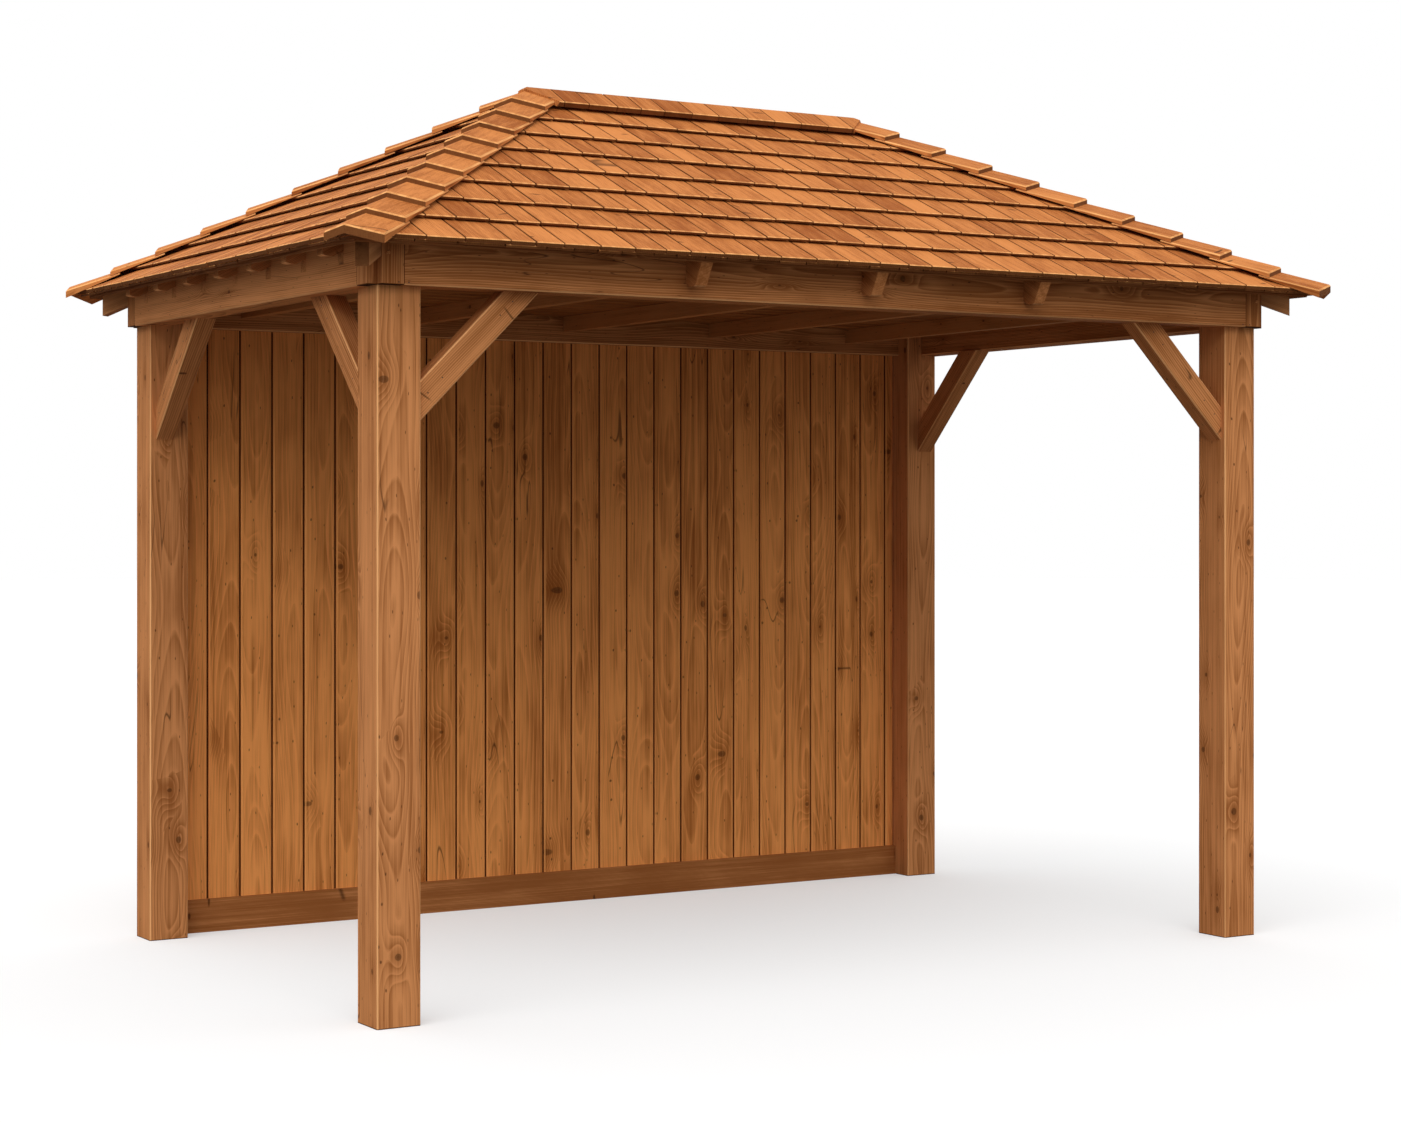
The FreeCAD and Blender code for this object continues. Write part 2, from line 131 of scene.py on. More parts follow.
floor_shade = (0.17, 0.165, 0.16, 1)
floor_white = (0.56, 0.56, 0.56, 1)
floor_glow = 0.385
floor_paint = bpy.data.materials.new("studio_floor")
floor_paint.use_nodes = True
floor_paint.node_tree.nodes.clear()
graph = Graph(floor_paint.node_tree)
ray = graph.add("ShaderNodeLightPath", {}).outputs
seen = graph.calc("MAXIMUM", ray["Is Camera Ray"], ray["Is Transmission Ray"])
matt = graph.add("ShaderNodeBsdfDiffuse", {"Color": graph.mix(seen, floor_shade, floor_white)})
glow = graph.add("ShaderNodeEmission", {"Strength": graph.calc("MULTIPLY", seen, floor_glow)})
both = graph.add("ShaderNodeAddShader", {0: matt.outputs[0], 1: glow.outputs[0]})
graph.add("ShaderNodeOutputMaterial", {"Surface": both.outputs[0]})
floor.data.materials.append(floor_paint)


# Posts: four squared cedar posts, 150 mm, planed and stained, their long edges eased.
# Each stands on the ground and carries a corner of the ring beam.
def cedar_figure():
    """Figure of planed cedar. Place is in metres from the pith, with the grain along Z."""
    tree = bpy.data.node_groups.new("cedar_figure", "ShaderNodeTree")
    for name, kind in (
        ("Place", "Vector"),
        ("Facing", "Vector"),
        ("Tone", "Float"),
        ("Ring Spacing", "Float"),
        ("Knots", "Float"),
        ("Checks", "Float"),
        ("Ends", "Float"),
        ("Contrast", "Float"),
        ("Pale", "Color"),
        ("Deep", "Color"),
        ("Worn Highlight", "Color"),
    ):
        tree.interface.new_socket(name=name, in_out="INPUT", socket_type="NodeSocket" + kind)
    for name, kind in (("Colour", "Color"), ("Roughness", "Float"), ("Height", "Float")):
        tree.interface.new_socket(name=name, in_out="OUTPUT", socket_type="NodeSocket" + kind)
    g = Graph(tree)
    given = g.add("NodeGroupInput", {}).outputs

    def cloud(stretch, detail, output="Fac"):
        spot = g.vector("MULTIPLY", given["Place"], stretch)
        noise = g.add("ShaderNodeTexNoise", {"Vector": spot, "Scale": 1.0, "Detail": detail})
        return noise.outputs[output]

    # Distance from the pith, with the slow wander of a real trunk, and the way round it.
    drift = g.vector("SUBTRACT", cloud((2.6, 2.6, 0.9), 1.0, "Color"), (0.5, 0.5, 0.5))
    place = g.vector("ADD", given["Place"], g.vector("MULTIPLY", drift, (0.085, 0.085, 0.0)))
    across = g.vector("LENGTH", g.vector("MULTIPLY", place, (1, 1, 0)))
    part = g.add("ShaderNodeSeparateXYZ", {0: g.vector("MULTIPLY", place, (-1, -1, 1))}).outputs
    around = g.calc("MULTIPLY", g.calc("ARCTAN2", part[1], part[0]), across)

    def scatter(cell_around, cell_along):
        """Nearest of many scattered spots: the way to it in metres, and its own random numbers."""
        cells = {0: g.calc("DIVIDE", around, cell_around), 1: g.calc("DIVIDE", part[2], cell_along)}
        cells = g.add("ShaderNodeCombineXYZ", cells).outputs[0]
        inputs = {"Vector": cells, "Scale": 1.0}
        spots = g.add("ShaderNodeTexVoronoi", inputs, voronoi_dimensions="2D")
        offset = g.vector("SUBTRACT", cells, spots.outputs["Position"])
        offset = g.vector("MULTIPLY", offset, (cell_around, cell_along, 0))
        return offset, g.add("ShaderNodeSeparateColor", {0: spots.outputs["Color"]}).outputs

    # Knots: a dark core and rim, and rings that swirl round them.
    offset, luck = scatter(0.12, 0.36)
    kept = g.calc("LESS_THAN", luck[0], given["Knots"])
    radius = g.fade(luck[1], 0.0, 1.0, 0.004, 0.010)
    away = g.calc("DIVIDE", g.vector("LENGTH", offset), radius)
    knot = g.calc("MULTIPLY", kept, g.fade(away, 0.5, 1.3, 1.0, 0.0))
    rim = g.fade(g.calc("ABSOLUTE", g.calc("SUBTRACT", away, 1.1)), 0.0, 0.5, 1.0, 0.0)
    rim = g.calc("MULTIPLY", kept, rim)
    spread = g.vector("LENGTH", g.vector("DIVIDE", offset, (0.034, 0.070, 1.0)))
    swirl = g.calc("EXPONENT", g.calc("MULTIPLY", g.calc("MULTIPLY", spread, spread), -1.0))
    swirl = g.calc("MULTIPLY", swirl, kept)

    # Yearly rings: wood that darkens slowly to a late edge and starts pale again.
    phase = g.calc("DIVIDE", across, given["Ring Spacing"])
    phase = g.calc("ADD", phase, g.calc("MULTIPLY", swirl, 3.5))
    ring = g.calc("FRACT", phase)
    late = g.calc("MULTIPLY", g.calc("POWER", ring, 2.0), g.fade(ring, 0.86, 1.0, 1.0, 0.0))
    early = g.fade(ring, 0.0, 0.3, 1.0, 0.0)

    # Flecks: short dark marks along the grain.
    offset, luck = scatter(0.045, 0.10)
    fleck = g.vector("LENGTH", g.vector("DIVIDE", offset, (0.0020, 0.0060, 1.0)))
    fleck = g.fade(fleck, 0.5, 1.2, 1.0, 0.0)
    fleck = g.calc("MULTIPLY", fleck, g.calc("LESS_THAN", luck[0], 0.38))

    # Checks: fine cracks along the grain, in a few places only.
    wave = {0: g.calc("MULTIPLY", around, 14.0), 1: g.calc("MULTIPLY", part[2], 1.2)}
    wave = g.add("ShaderNodeCombineXYZ", wave).outputs[0]
    split = g.add("ShaderNodeTexNoise", {"Vector": wave, "Scale": 1.0, "Detail": 1.0}).outputs[0]
    split = g.fade(g.calc("ABSOLUTE", g.calc("SUBTRACT", split, 0.5)), 0.0, 0.006, 1.0, 0.0)
    where = g.calc("ADD", cloud((5, 5, 1.6), 0.0), g.calc("MULTIPLY", given["Checks"], 0.2))
    split = g.calc("MULTIPLY", split, g.fade(where, 0.66, 0.70))

    # Streaks, threads, fibres and stain of four sizes, added up with the rings to one shade.
    streak = cloud((48, 48, 0.8), 2.0)
    thread = cloud((150, 150, 2.4), 2.0)
    fibre = cloud((420, 420, 7), 2.0)
    stain = cloud((7, 7, 2.6), 3.0)
    shade = g.calc("MULTIPLY_ADD", late, given["Contrast"], given["Tone"])
    shade = g.calc("MULTIPLY_ADD", early, -0.16, shade)
    for texture, weight in ((streak, 0.75), (thread, 0.75), (fibre, 0.5), (stain, 0.9)):
        shade = g.calc("MULTIPLY_ADD", g.calc("SUBTRACT", texture, 0.5), weight, shade)
    shade = g.calc("MULTIPLY_ADD", swirl, 0.3, g.calc("ADD", shade, 0.32))
    colour = g.mix(g.fade(shade, 0.0, 1.0), given["Pale"], given["Deep"])
    knot_brown = (0.050, 0.016, 0.005, 1)
    for mark, strength in ((knot, 0.62), (rim, 0.55), (fleck, 0.75), (split, 0.7)):
        colour = g.mix(g.calc("MULTIPLY", mark, strength), colour, knot_brown)

    # Eased edges wear pale, with a painted highlight; end grain drinks more stain; a tone of 2
    # paints black joint shade.
    end_grain_and_shade_brown = (0.11, 0.038, 0.012, 1)
    joint_shade_black = (0.018, 0.006, 0.002, 1)
    normal = g.add("ShaderNodeSeparateXYZ", {0: g.vector("ABSOLUTE", given["Facing"])}).outputs
    squarest = g.calc("MAXIMUM", g.calc("MAXIMUM", normal[0], normal[1]), normal[2])
    eased = g.fade(squarest, 0.75, 0.9, 1.0, 0.0)
    eased = g.calc("MULTIPLY", eased, g.fade(streak, 0.35, 0.6, 1.0, 0.5))
    colour = g.mix(g.calc("MULTIPLY", eased, 0.9), colour, given["Worn Highlight"])
    # Shingle sides, marked to face like ends, take this brown too: painted shade in the gaps
    # between shingles.
    end_grain_and_gap_shade = g.calc("MULTIPLY", g.fade(normal[2], 0.8, 0.95), given["Ends"])
    colour = g.mix(end_grain_and_gap_shade, colour, end_grain_and_shade_brown)
    colour = g.mix(g.fade(given["Tone"], 1.0, 2.0, 0.0, 0.85), colour, joint_shade_black)

    height = g.calc("MULTIPLY_ADD", late, -0.35, g.calc("MULTIPLY", fibre, 0.5))
    height = g.calc("MULTIPLY_ADD", split, -1.0, height)
    height = g.calc("MULTIPLY_ADD", fleck, -0.7, height)
    rough = g.calc("MULTIPLY_ADD", fibre, 0.2, 0.66)
    g.add("NodeGroupOutput", {"Colour": colour, "Roughness": rough, "Height": height})
    return tree


figure = cedar_figure()
chance = random.Random(7)


def along_log():
    """A random place along the log, so that no two pieces show the same figure."""
    return chance.uniform(-40, 40)


def wood_shader(g, place, facing, tone, finish, ring_spacing, knots, checks, contrast, ends):
    """Shader of stained cedar, from the pale and deep colours of its finish and the pale of its
    worn edges, which is also a painted highlight.
    """
    wood = g.add("ShaderNodeGroup", {}, node_tree=figure)
    given = {"Place": place, "Facing": facing, "Tone": tone, "Ring Spacing": ring_spacing}
    given.update({"Knots": knots, "Checks": checks, "Contrast": contrast, "Ends": ends})
    given.update({name: (*colour, 1) for name, colour in zip(("Pale", "Deep", "Worn Highlight"), finish)})
    for name, value in given.items():
        if isinstance(value, bpy.types.NodeSocket):
            g.tree.links.new(value, wood.inputs[name])
        else:
            wood.inputs[name].default_value = value
    relief = {"Height": wood.outputs["Height"], "Strength": 0.6, "Distance": 0.0012}
    surface = {
        "Base Color": wood.outputs["Colour"],
        "Roughness": wood.outputs["Roughness"],
        "Normal": g.add("ShaderNodeBump", relief).outputs[0],
        "Specular IOR Level": 0.06,
    }
    shader = g.add("ShaderNodeBsdfPrincipled", surface)
    g.add("ShaderNodeOutputMaterial", {"Surface": shader.outputs[0]})


def new_material(name):
    material = bpy.data.materials.new(name)
    material.use_nodes = True
    material.node_tree.nodes.clear()
    return material, Graph(material.node_tree)


# Butted pieces get a thin black band at each end: painted shade of the joint where two timbers
# meet.
joint_shade_width, joint_shade_fade, joint_shade_tone = 0.0035, 0.002, 2.0


def timber(
    name, along, finish, tone=0.0, pith=(0.02, 0.13), ring_spacing=0.005,
    knots=0.4, checks=0.2, contrast=0.5, ends=0.5, butted=False,
):
    """Stained cedar for a node: grain along it, section off the pith, painted black joint shade at
    its ends if butted.
    """
    material, g = new_material("cedar_" + name)
    turn = Vector(along).rotation_difference(Vector((0, 0, 1))).to_euler()
    low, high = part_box(name)
    turned = turn.to_matrix() @ ((low + high) / 2)
    start = Vector((*pith, along_log())) - turned
    coordinates = g.add("ShaderNodeTexCoord", {}).outputs
    spot = {"Vector": coordinates["Object"], "Location": start, "Rotation": turn}
    place = g.add("ShaderNodeMapping", spot).outputs[0]
    look = {"Vector": coordinates["Normal"], "Rotation": turn}
    facing = g.add("ShaderNodeMapping", look, vector_type="VECTOR").outputs[0]
    half = abs((turn.to_matrix() @ (high - low) / 2).z)
    length = g.add("ShaderNodeSeparateXYZ", {0: place}).outputs[2]
    from_middle = g.calc("ABSOLUTE", g.calc("SUBTRACT", length, start.z + turned.z))
    joint_shade = g.fade(from_middle, half - joint_shade_width, half - joint_shade_width + joint_shade_fade)
    shade = g.calc("MULTIPLY_ADD", joint_shade, joint_shade_tone if butted else 0.0, tone)
    wood_shader(g, place, facing, shade, finish, ring_spacing, knots, checks, contrast, ends)
    mesh = nodes[name].data
    mesh.materials.clear()
    mesh.materials.append(material)


frame_stain = ((0.69, 0.285, 0.102), (0.32, 0.105, 0.027), (0.93, 0.48, 0.20))
corners = {
    "front_left": (-1, -1),
    "front_right": (1, -1),
    "back_left": (-1, 1),
    "back_right": (1, 1),
}
post_tones = 0.06
for corner, (sx, sy) in corners.items():
    tone = chance.uniform(-post_tones, post_tones)
    timber(
        "post_" + corner, (0, 0, 1), frame_stain, tone,
        pith=(0.004, -0.09), contrast=0.36, butted=True,
    )

# Ring beam: four cedar beams and a notched block over each post, butted and pegged.
# The grain runs level along each beam and upright in the blocks.
# Tones paint the light: the blocks and the front, back and right beams are darker, painted shade
# under the eaves, the left beam paler, painted light.
for side, along, tone in (
    ("front", (1, 0, 0), 0.16),
    ("back", (1, 0, 0), 0.2),
    ("left", (0, 1, 0), -0.2),
    ("right", (0, 1, 0), 0.16),
):
    timber("beam_" + side, along, frame_stain, tone, ring_spacing=0.006, checks=0.5, butted=True)
for corner in corners:
    timber("corner_block_" + corner, (0, 0, 1), frame_stain, tone=0.2, knots=0.0, butted=True)

# Knee braces: five diagonal cedar struts between the posts and the ring beam.
# They are cut plumb against the post and level under the beam, and nailed at both ends.
for name, along in (
    ("brace_front_left", (1, 0, 1)),
    ("brace_front_right", (-1, 0, 1)),
    ("brace_left_front", (0, 1, 1)),
    ("brace_left_back", (0, -1, 1)),
    ("brace_right_back", (0, -1, 1)),
):
    timber(
        name, along, frame_stain,
        pith=(-0.25, 0.25), ring_spacing=0.006, knots=0.15, checks=1.0,
    )

# Sill: a level cedar plank on the ground between the back posts, under the wall boards.
# It is planed and stained like the frame and butts against both posts.
timber("wall_sill", (1, 0, 0), frame_stain, tone=0.42, pith=(-0.25, 0.05), checks=0.0)


# Wall boards: upright tongued cedar boards with V joints, darker than the frame in the shade under
# the roof.
# They stand on the sill, run up to the beam's underside, and show the same V on both faces.
def start_boards():
    """Mesh for loose boards, with room for each board's own tone and its place in the log."""
    mesh = bmesh.new()
    mesh.verts.layers.float.new("tone")
    mesh.verts.layers.float_vector.new("log")
    mesh.verts.layers.float_vector.new("grain")
    mesh.faces.layers.float_vector.new("facing")
    return mesh


def add_board(mesh, low, high, tone, log):
    """One squared board between two corners, with its length along Z until it is carried off."""
    low, high = Vector(low), Vector(high)
    verts = bmesh.ops.create_cube(mesh, size=1.0)["verts"]
    bmesh.ops.scale(mesh, verts=verts, vec=high - low)
    bmesh.ops.translate(mesh, verts=verts, vec=(low + high) / 2)
    for vert in verts:
        vert[mesh.verts.layers.float["tone"]] = tone
        vert[mesh.verts.layers.float_vector["log"]] = Vector(log) - (low + high) / 2
    return verts


def long_edges(mesh):
    return [e for e in mesh.edges if abs((e.verts[0].co - e.verts[1].co).normalized().z) > 0.99]


def ease(mesh, edges, width):
    bmesh.ops.bevel(
        mesh, geom=edges, offset=width, offset_type="OFFSET", affect="EDGES",
        segments=1, profile=0.5, material=-1,
    )


def mark_grain(mesh):
    """Keeps each board's place in its log and the way its faces look, before it is carried off."""
    grain = mesh.verts.layers.float_vector["grain"]
    facing = mesh.faces.layers.float_vector["facing"]
    log = mesh.verts.layers.float_vector["log"]
    mesh.normal_update()
    for vert in mesh.verts:
        vert[grain] = vert.co + vert[log]
    for face in mesh.faces:
        face[facing] = face.normal


def dressed(name, mesh, material, slot, *replaced):
    """Turns a finished mesh into a piece of the object that stands for CAD nodes."""
    piece = bpy.data.objects.new(name, bpy.data.meshes.new(name))
    mesh.to_mesh(piece.data)
    mesh.free()
    piece.data.materials.append(material)
    bpy.context.scene.collection.objects.link(piece)
    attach(piece, "root")
    if replaced:
        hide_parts(*replaced)


def board_material(name, finish, ring_spacing, knots, contrast, ends=0.5):
    material, g = new_material(name)
    grain = g.add("ShaderNodeAttribute", {}, attribute_name="grain").outputs["Vector"]
    facing = g.add("ShaderNodeAttribute", {}, attribute_name="facing").outputs["Vector"]
    tone = g.add("ShaderNodeAttribute", {}, attribute_name="tone").outputs["Fac"]
    wood_shader(g, grain, facing, tone, finish, ring_spacing, knots, 0.0, contrast, ends)
    return material


wall_low, wall_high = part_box("wall_boards")
wall_pitch = 0.133
first_joint = wall_low.x + 0.121
least_board = 0.01
joint_gap = 0.008
joint_ease = 0.005
tongue_half = 0.0065
tongue_setback = 0.009
tongue_shade_tone = 2.5
wall_tones = 0.12
joints = [wall_low.x]
while first_joint + (len(joints) - 1) * wall_pitch < wall_high.x - least_board:
    joints.append(first_joint + (len(joints) - 1) * wall_pitch)
joints.append(wall_high.x)
boards = start_boards()
for left, right in zip(joints, joints[1:]):
    log = (chance.uniform(-0.05, 0.05), chance.uniform(0.10, 0.22), along_log())
    add_board(
        boards,
        (left + joint_gap / 2, wall_low.y, wall_low.z),
        (right - joint_gap / 2, wall_high.y, wall_high.z),
        chance.uniform(-wall_tones, wall_tones),
        log,
    )
ease(boards, long_edges(boards), joint_ease)
# The tongue in each joint is painted near black: painted shade at the bottom of the V.
for joint in joints[1:-1]:
    add_board(
        boards,
        (joint - tongue_half, wall_low.y + tongue_setback, wall_low.z),
        (joint + tongue_half, wall_high.y - tongue_setback, wall_high.z),
        tongue_shade_tone,
        (0.1, 0.1, joint),
    )
mark_grain(boards)
# Their stain is paler than the frame's: painted light that lifts the shaded wall.
wall_stain_with_painted_light = ((0.92, 0.355, 0.098), (0.36, 0.104, 0.019), (0.95, 0.41, 0.125))
wall_cedar = board_material("wall_cedar", wall_stain_with_painted_light, 0.006, 0.3, 0.16)
dressed("wall_boarding", boards, wall_cedar, "wall_timber", "wall_boards")

# Ceiling: level cedar joists let into the long beams, with tongued boards laid over them.
# The boards run the length of the roof and show a V at each joint.
# A pith some metres off gives the joists straight rings.
# The boards and joists are stained darker than the frame: painted shade under the roof, the boards
# darker than the joists.
loft_stain_painted_shade = ((0.36, 0.135, 0.038), (0.15, 0.045, 0.009), (0.48, 0.19, 0.06))
joist_stain_painted_shade = ((0.52, 0.215, 0.070), (0.24, 0.082, 0.020), (0.62, 0.28, 0.10))
flat_rings = (0, 8)
timber("ceiling_joists", (0, 1, 0), joist_stain_painted_shade, -0.2, flat_rings, knots=0.1, contrast=0.3)
ceiling_low, ceiling_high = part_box("ceiling_boards")
ceiling_pitch = 0.120
ceiling_ease = 0.004
ceiling_tones = 0.1
boards = start_boards()
side = ceiling_low.y
while side < ceiling_high.y - least_board:
    edge = min(side + ceiling_pitch, ceiling_high.y)
    add_board(
        boards,
        (-ceiling_high.z, side + joint_gap / 2, ceiling_low.x),
        (-ceiling_low.z, edge - joint_gap / 2, ceiling_high.x),
        chance.uniform(-ceiling_tones, ceiling_tones),
        (chance.uniform(-0.2, -0.1), chance.uniform(-0.05, 0.05), along_log()),
    )
    side = edge
ease(boards, long_edges(boards), ceiling_ease)
mark_grain(boards)
lay_level = Matrix.Rotation(math.radians(90), 3, "Y")
bmesh.ops.rotate(boards, verts=boards.verts, matrix=lay_level)
ceiling_cedar = board_material("ceiling_cedar", loft_stain_painted_shade, 0.005, 0.3, 0.4)
dressed("ceiling_boarding", boards, ceiling_cedar, "roof_timber", "ceiling_boards")

# Pegs and nails: a cedar peg in each corner block beside the hip tail, and small steel nails.
# The nails hold the block and beam at the bottom of each joint and the ends of the knee braces.
nail_radius, nail_proud = 0.0028, 0.0006
peg_radius, peg_proud = 0.0075, 0.004
head_taper, hidden_part = 0.75, 0.002
half_length, half_width, post_width = 1.830, 1.100, 0.150
block_face = 1.135
peg_x, peg_height = 1.808, 2.418
block_nails, block_nail_height = (1.772, 1.738), 2.328
brace_setback = 0.022
brace_foot, brace_middle = 1.890, 0.0635
brace_nails = (0.035, 0.085, 0.290, 0.335)


def add_pin(mesh, place, turn, radius, proud):
    """Round head that stands proud of an upright face. It looks to the front until it is turned."""
    spot = Matrix.Translation(place) @ Matrix.Rotation(math.radians(turn), 4, "Z")
    spot = spot @ Matrix.Rotation(math.radians(90), 4, "X")
    spot = spot @ Matrix.Translation((0, 0, (proud - hidden_part) / 2))
    bmesh.ops.create_cone(
        mesh, cap_ends=True, segments=12, radius1=radius, radius2=radius * head_taper,
        depth=proud + hidden_part, matrix=spot,
    )


nails = start_boards()
pegs = start_boards()
for sx, sy in corners.values():
    turn = 0 if sy < 0 else 180
    add_pin(pegs, (sx * peg_x, sy * block_face, peg_height), turn, peg_radius, peg_proud)
    for x in block_nails:
        place = (sx * x, sy * block_face, block_nail_height)
        add_pin(nails, place, turn, nail_radius, nail_proud)
for (sx, sy), along_x in (
    ((-1, -1), True),
    ((1, -1), True),
    ((-1, -1), False),
    ((-1, 1), False),
    ((1, 1), False),
):
    for reach in brace_nails:
        height = brace_foot + brace_middle + reach
        if along_x:
            across = half_length - post_width - reach
            place = (sx * across, sy * (half_width - brace_setback), height)
            add_pin(nails, place, 0, nail_radius, nail_proud)
        else:
            across = half_width - post_width - reach
            place = (sx * (half_length - brace_setback), sy * across, height)
            add_pin(nails, place, sx * 90, nail_radius, nail_proud)
mark_grain(pegs)
peg_cedar = board_material("peg_cedar", frame_stain, 0.005, 0.0, 0.3)
dressed("block_pegs", pegs, peg_cedar, "frame_timber")
steel, graph = new_material("nail_steel")
surface = {"Base Color": (0.035, 0.026, 0.02, 1), "Roughness": 0.5, "Metallic": 0.4}
steel_shader = graph.add("ShaderNodeBsdfPrincipled", surface)
graph.add("ShaderNodeOutputMaterial", {"Surface": steel_shader.outputs[0]})
dressed("nails", nails, steel, None)

# Roof frame: hip, common and end rafters on the ring beam, and the ridge board between the hips.
# Only their square-cut, rounded and plumb-cut tails show under the eaves, with the boarded deck.
pitch = math.radians(28.5)
# Roof timbers take a darker stain than the frame, and the rafters and decks darker tones: painted
# shade under the eaves.
roof_stain_painted_shade = ((0.42, 0.17, 0.058), (0.19, 0.060, 0.016), (0.58, 0.26, 0.10))
fall = math.tan(pitch)
upright_rings = (-8, 0)
for name, side, along, deck_along, tone, pith in (
    ("common", "front", (0, 1, fall), (1, 0, 0), 0.25, flat_rings),
    ("common", "back", (0, -1, fall), (1, 0, 0), 0.25, flat_rings),
    ("end", "left", (1, 0, fall), (0, 1, 0), 0.12, upright_rings),
    ("end", "right", (-1, 0, fall), (0, 1, 0), 0.12, upright_rings),
):
    rafters = name + "_rafters_" + side
    timber(rafters, along, frame_stain, tone, pith, knots=0.2, contrast=0.3, ends=0.0)
    timber("deck_" + side, deck_along, roof_stain_painted_shade, tone=0.2)
for corner, (sx, sy) in corners.items():
    timber("hip_rafter_" + corner, (-sx, -sy, fall), roof_stain_painted_shade, knots=0.1)
timber("ridge_board", (1, 0, 0), roof_stain_painted_shade)

# Shingles: tapered cedar shingles in eight courses on each face, over a starter row at the eave.
# Each is nailed under the next course, a little apart from its neighbours, and has its own tone.
rafter_height, deck_thick = 2.49, 0.018
deck_foot = Vector((0, -block_face, rafter_height + deck_thick / math.cos(pitch)))
ridge_half = 0.73
overhang = 0.165
eave = half_width + overhang
course, courses = 0.172, 8
butt_height, head_thick = 0.026, 0.0045
course_height = 0.011
starter_thick, starter_setback = course_height - 0.001, 0.004
shingle_lap = 0.062
shingle_gap = 0.005
shadow_gap = 0.0055
usual_width, width_spread = 0.116, 0.024
least_width, most_width = 0.075, 0.165
stagger, nudge_most, thinner_most = 0.06, 0.002, 0.002
trim = 0.02
shingle_tones = 0.14
butt_ease, butt_wear = 0.0042, 1.6
side_ease = 0.0015
ways_aside = ((1, 0, 0), (-1, 0, 0))
gap_shade_look, worn_highlight_look, planed_look = (0, 0, 1), (0.6, 0.6, 0.5), (1, 0, 0)
to_slope = Matrix.Rotation(pitch - math.radians(90), 4, "X")


def roof_height(distance):
    """Height of the deck's upper face at a plan distance from the ridge line."""
    return deck_foot.z + (-deck_foot.y - distance) * fall


def lay_shingle(mesh, left, right, butt, length, low, thick, head_thick, tone_spread):
    """A tapered shingle on a flat face: X along the eave, Z up the slope, Y into the roof."""
    tone = chance.gauss(0, tone_spread)
    log = (chance.uniform(-0.7, -0.3), chance.uniform(-0.05, 0.05), along_log())
    verts = add_board(mesh, (left, -thick, butt), (right, 0, butt + length), tone, log)
    head = [v for v in verts if v.co.z > butt + length / 2]
    upper_head = [v for v in head if v.co.y < -thick / 2]
    bmesh.ops.translate(mesh, verts=upper_head, vec=(0, thick - head_thick, 0))
    bmesh.ops.translate(mesh, verts=verts, vec=(0, -low, 0))
    bmesh.ops.translate(mesh, verts=head, vec=(0, low, 0))


def rims(mesh, *ways):
    """Edges of laid pieces where the upper face meets a face that looks one of these ways."""
    mesh.normal_update()
    found = []
    for edge in mesh.edges:
        looks = [face.normal for face in edge.link_faces]
        upper = any(look.y < -0.9 for look in looks)
        if upper and any(look.dot(Vector(way)) > 0.9 for way in ways for look in looks):
            found.append(edge)
    return found


def wear(mesh):
    """Wears each butt back to a slope, longer up the face than down the butt, then the sides."""
    bmesh.ops.scale(mesh, verts=mesh.verts, vec=(1, butt_wear, 1))
    ease(mesh, rims(mesh, (0, 0, -1)), butt_ease)
    bmesh.ops.scale(mesh, verts=mesh.verts, vec=(1, 1 / butt_wear, 1))
    ease(mesh, rims(mesh, *ways_aside), side_ease)


def mark_joints(mesh):
    """Darkens the sides of the pieces with painted shade of the gaps between them, and pales the
    worn slope above each butt, also a painted highlight.
    """
    facing = mesh.faces.layers.float_vector["facing"]
    for face in mesh.faces:
        if abs(face.normal.x) > 0.5:
            face[facing] = gap_shade_look
        elif -0.9 < face.normal.z < -0.3:
            face[facing] = worn_highlight_look


def cut(mesh, point, normal):
    """Cuts a closed mesh with a plane, drops what lies beyond it and closes the cut."""
    bmesh.ops.bisect_plane(
        mesh, geom=mesh.verts[:] + mesh.edges[:] + mesh.faces[:], dist=1e-6,
        plane_co=point, plane_no=normal, clear_outer=True,
    )
    open_edges = [e for e in mesh.edges if e.is_boundary]
    for face in bmesh.ops.holes_fill(mesh, edges=open_edges, sides=0)["faces"]:
        face[mesh.faces.layers.float_vector["facing"]] = planed_look


def shingle_face(side):
    """Single shingles of one roof face: laid flat, worn, tilted, mitred, turned to their side."""
    long_side = side in ("front", "back")
    spare = ridge_half if long_side else 0.0
    mesh = start_boards()
    slope_length = eave / math.cos(pitch)
    for row in range(-1, courses):
        butt = max(row, 0) * course
        reach = spare + (slope_length - butt) * math.cos(pitch) + trim
        along = -reach - chance.uniform(0, stagger)
        while along < reach:
            width = chance.gauss(usual_width, width_spread)
            width = min(most_width, max(least_width, width))
            place = butt + chance.uniform(-nudge_most, nudge_most)
            length = min(course + shingle_lap, slope_length - butt)
            if row < 0:
                low, top = 0.0, starter_thick
                place += starter_setback
            elif row == 0:
                low, top = course_height, butt_height - chance.uniform(0.0, thinner_most / 2)
            else:
                low = course_height + shadow_gap
                top = butt_height - chance.uniform(0.0, thinner_most)
            right = along + width - shingle_gap
            lay_shingle(
                mesh, along, right, place, length, low, top - low, head_thick, shingle_tones,
            )
            along += width
    wear(mesh)
    mark_grain(mesh)
    mark_joints(mesh)
    bmesh.ops.transform(mesh, verts=mesh.verts, matrix=to_slope)
    bmesh.ops.translate(mesh, verts=mesh.verts, vec=(0, -eave, roof_height(eave)))
    for way in (-1, 1):
        cut(mesh, (way * spare, 0, 0), Vector((way, 1, 0)).normalized())
    if not long_side:
        bmesh.ops.translate(mesh, verts=mesh.verts, vec=(0, -ridge_half, 0))
    turn = {"front": 0, "right": 90, "back": 180, "left": -90}[side]
    bmesh.ops.rotate(mesh, verts=mesh.verts, matrix=Matrix.Rotation(math.radians(turn), 3, "Z"))
    return mesh


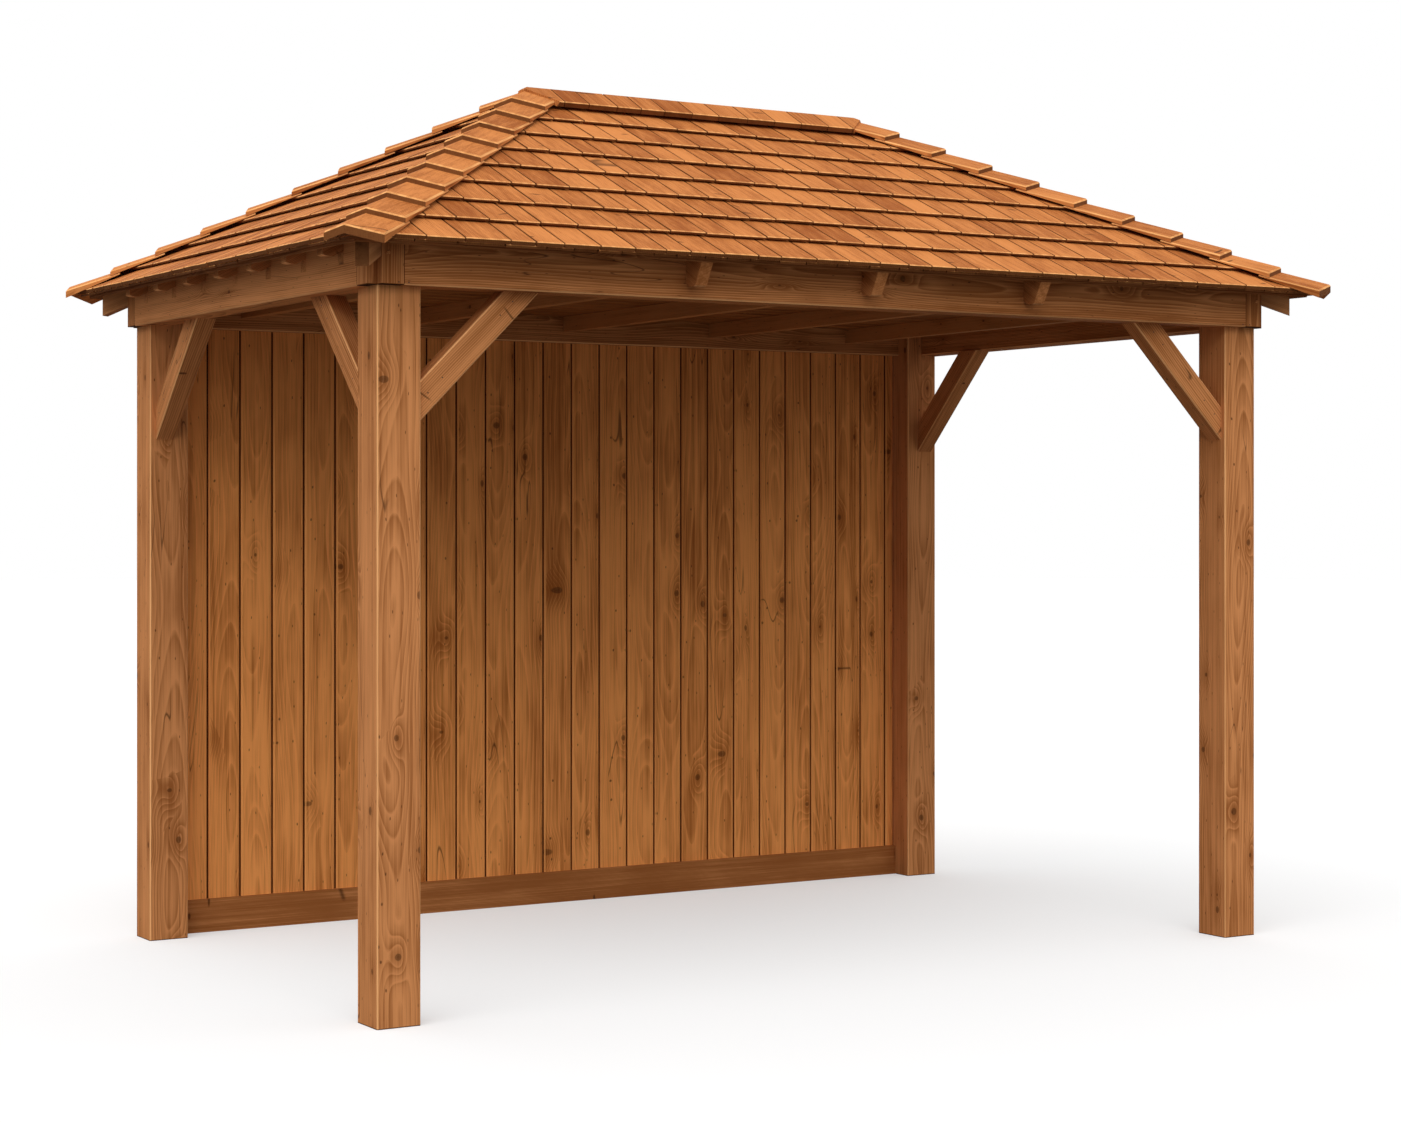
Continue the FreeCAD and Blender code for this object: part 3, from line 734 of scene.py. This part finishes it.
roof_finish = ((0.64, 0.235, 0.066), (0.28, 0.072, 0.013), (0.95, 0.47, 0.17))
# The butts take the end-grain brown strongly: real end grain, deepened with painted shade on the
# butt faces.
shingle_cedar = board_material("shingle_cedar", roof_finish, 0.008, 0.0, 0.5, ends=0.8)
for side in ("front", "back", "left", "right"):
    mesh = shingle_face(side)
    dressed("shingling_" + side, mesh, shingle_cedar, "cedar_shingle", "shingles_" + side)

# Hip caps: ten pairs of thick tapered cedar pieces up each hip, mitred at the fold.
# Each pair is nailed over the heads of the pair below, and its butts slant back from the fold.
cap_overhang = 0.200
cap_tip = half_width + cap_overhang
cap_pieces = 10
cap_step = cap_tip * math.sqrt(2) / cap_pieces
cap_butt, cap_head = 0.029, 0.010
short_wing, long_wing = 0.075, 0.115
cap_slant = 0.040 / long_wing
cap_lap = 0.040
cap_ease = 0.0045
cap_tones = 0.12
ridge_notch = 0.025 / math.sqrt(2)
cap_lift = butt_height / math.cos(pitch)
up_hip = Vector((-1, 1, fall)) / math.sqrt(2)
# The caps' butts likewise: real end grain, deepened with painted shade.
cap_cedar = board_material("cap_cedar", roof_finish, 0.005, 0.0, 0.4, ends=0.8)


def cap_wing(wing, low_end, low):
    """One wing of a cap on the front right hip. Its width is negative on the front face."""
    side = math.copysign(1, wing)
    across = Vector((side, side, -fall)) / math.sqrt(2) + up_hip * cap_slant
    thinning = (cap_butt - cap_head) / cap_step
    length = cap_step + cap_lap
    piece = start_boards()
    head = cap_butt - thinning * length
    lay_shingle(piece, 0.0, abs(wing), 0.0, length, low, cap_butt - low, head, cap_tones)
    ease(piece, rims(piece, (1, 0, 0), (0, 0, -1)), cap_ease)
    mark_grain(piece)
    carry = Matrix((across, (0, 0, -1), up_hip)).transposed().to_4x4()
    carry.translation = (ridge_half + low_end, -low_end, roof_height(low_end) + cap_lift)
    bmesh.ops.transform(piece, verts=piece.verts, matrix=carry)
    bmesh.ops.recalc_face_normals(piece, faces=piece.faces)
    cut(piece, (ridge_half + ridge_notch, -ridge_notch, 0), (-1, 1, 0))
    return piece


def gather(mesh, piece):
    """Adds a finished piece to a mesh of many."""
    carrier = bpy.data.meshes.new("carrier")
    piece.to_mesh(carrier)
    piece.free()
    mesh.from_mesh(carrier)
    bpy.data.meshes.remove(carrier)


for corner, (sx, sy) in corners.items():
    caps = start_boards()
    for index in range(cap_pieces):
        low_end = cap_tip * (1 - index / cap_pieces)
        for wing in (short_wing, -long_wing):
            gather(caps, cap_wing(wing, low_end, cap_head if index else 0.0))
    bmesh.ops.scale(caps, verts=caps.verts, vec=(sx, -sy, 1))
    bmesh.ops.recalc_face_normals(caps, faces=caps.faces)
    dressed("hip_caps_" + corner, caps, cap_cedar, "cedar_shingle", "hip_cap_" + corner)

# Ridge cap: short cedar pieces down both sides of the ridge, and a small one folded over each end.
# They meet at the top and are nailed over the last course and the heads of the hip caps.
ridge_wing, ridge_thick = 0.105, 0.020
ridge_length = ridge_wing / math.cos(pitch) + trim
ridge_widths = (0.100, 0.130)
ridge_gap = 0.003
ridge_caps = start_boards()
for turn, spare in ((0, ridge_half), (90, 0.0), (180, ridge_half), (-90, 0.0)):
    row = start_boards()
    along = -spare - ridge_notch
    while along < spare + ridge_notch:
        right = along + chance.uniform(*ridge_widths)
        lay_shingle(
            row, along, right - ridge_gap, 0.0, ridge_length, 0.0,
            ridge_thick, ridge_thick, cap_tones,
        )
        along = right
    wear(row)
    mark_grain(row)
    mark_joints(row)
    bmesh.ops.transform(row, verts=row.verts, matrix=to_slope)
    foot = (0, -ridge_wing, roof_height(ridge_wing) + cap_lift)
    bmesh.ops.translate(row, verts=row.verts, vec=foot)
    cut(row, (0, 0, 0), (0, 1, 0))
    for way in (-1, 1):
        cut(row, (way * spare, 0, 0), (way, 1, 0))
        cut(row, (way * (spare + ridge_notch), -ridge_notch, 0), (way, -1, 0))
    bmesh.ops.translate(row, verts=row.verts, vec=(0, 0.0 if spare else -ridge_half, 0))
    bmesh.ops.rotate(row, verts=row.verts, matrix=Matrix.Rotation(math.radians(turn), 3, "Z"))
    gather(ridge_caps, row)
dressed("ridge_caps", ridge_caps, cap_cedar, "cedar_shingle", "ridge_cap")
